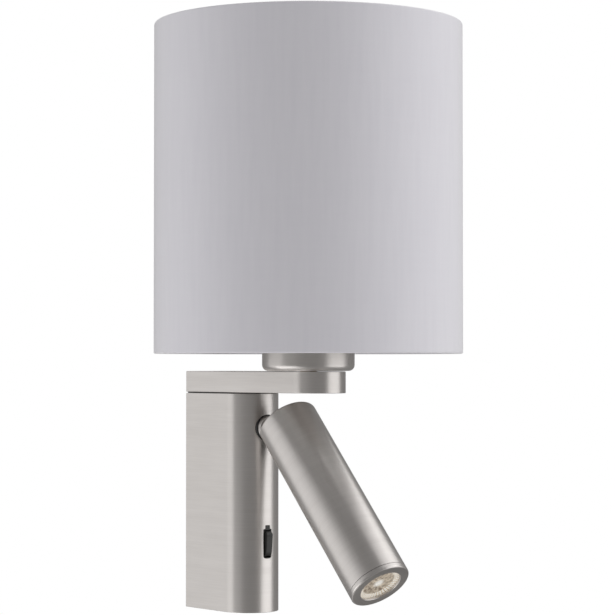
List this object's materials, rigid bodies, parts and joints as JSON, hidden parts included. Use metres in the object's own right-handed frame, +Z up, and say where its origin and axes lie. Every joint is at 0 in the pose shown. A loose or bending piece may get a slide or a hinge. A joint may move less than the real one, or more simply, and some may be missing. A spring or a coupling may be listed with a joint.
{
  "type": "bedside wall lamp",
  "caption": "Wall lamp with a drum shade on a short arm over a slim housing, and a cylindrical LED reading head that swivels on the housing's front.",
  "frame": {"origin": "middle of the wall bracket's back face, on the wall", "axes": "+Z up, +Y into the wall, so the lamp stands out towards -Y"},
  "size_m": [0.18, 0.185, 0.3475],
  "materials": {
    "satin_nickel": "satin brushed nickel plate",
    "zinc_steel": "zinc plated",
    "brass": "plain",
    "aluminium": "turned",
    "black_plastic": "fine matt",
    "white_plastic": "satin",
    "ceramic": "plain",
    "shade_fabric": "smooth woven cotton on a stiff lining",
    "white_wire": "white powder coat",
    "opal_glass": "opal",
    "clear_lens": "clear, polished",
    "reflector": "metallised, warm",
    "led_phosphor": "phosphor",
    "circuit_board": "white solder mask",
    "brown_wire": "sleeving",
    "blue_wire": "sleeving"
  },
  "bodies": {
    "lamp_body": {"housing_shell": "satin_nickel", "housing_bottom_cap": "satin_nickel", "bracket_lock_screw": "satin_nickel", "arm_shell": "satin_nickel", "arm_base_plate": "satin_nickel", "lamp_cup": "satin_nickel", "wall_bracket": "zinc_steel", "housing_top_plate": "zinc_steel", "arm_screw_1": "zinc_steel", "arm_screw_2": "zinc_steel", "nipple_washer": "zinc_steel", "swivel_spring_washer": "zinc_steel", "earth_screw": "brass", "terminal_screw_1": "brass", "terminal_screw_2": "brass", "terminal_screw_3": "brass", "holder_nipple": "brass", "nipple_nut": "brass", "lampholder_screw_shell": "brass", "lampholder_contact": "brass", "switch_terminal_1": "brass", "switch_terminal_2": "brass", "bulb_cap": "aluminium", "switch_body": "black_plastic", "swivel_bush": "black_plastic", "terminal_block": "white_plastic", "driver_case": "white_plastic", "driver_lid": "white_plastic", "lampholder_base": "white_plastic", "lampholder_skirt": "white_plastic", "shade_nut_lower": "white_plastic", "shade_nut_upper": "white_plastic", "bulb_body": "white_plastic", "lampholder_core": "ceramic", "shade_fabric": "shade_fabric", "shade_top_wire": "white_wire", "shade_foot_wire": "white_wire", "shade_spider": "white_wire", "bulb_globe": "opal_glass", "lamp_lead": "brown_wire", "switch_lead_1": "brown_wire", "switch_lead_2": "brown_wire", "led_lead": "blue_wire"},
    "swivel": {"swivel_stem": "satin_nickel", "swivel_washer": "zinc_steel", "swivel_nut": "brass"},
    "reading_head": {"head_housing": "satin_nickel", "pivot_block": "aluminium", "tilt_pin": "zinc_steel", "friction_washer_1": "zinc_steel", "friction_washer_2": "zinc_steel", "head_bezel": "satin_nickel", "lens": "clear_lens", "lens_gasket": "black_plastic", "reflector": "reflector", "led_chip": "led_phosphor", "led_board": "circuit_board", "heat_sink": "aluminium"},
    "switch_rocker": {"rocker": "black_plastic"}
  },
  "joints": [
    {"name": "head_pan", "type": "hinge", "parent": "lamp_body", "child": "swivel", "pos_m": [0, -0.0575, 0.0445], "axis": [0, -1, 0], "range_deg": [-90, 90]},
    {"name": "head_tilt", "type": "hinge", "parent": "swivel", "child": "reading_head", "pos_m": [0, -0.0798, 0.0445], "axis": [-1, 0, 0], "range_deg": [-42, 48]},
    {"name": "rocker_tip", "type": "hinge", "parent": "lamp_body", "child": "switch_rocker", "pos_m": [0, -0.0539, -0.0242], "axis": [-1, 0, 0], "range_deg": [0, 9]}
  ]
}
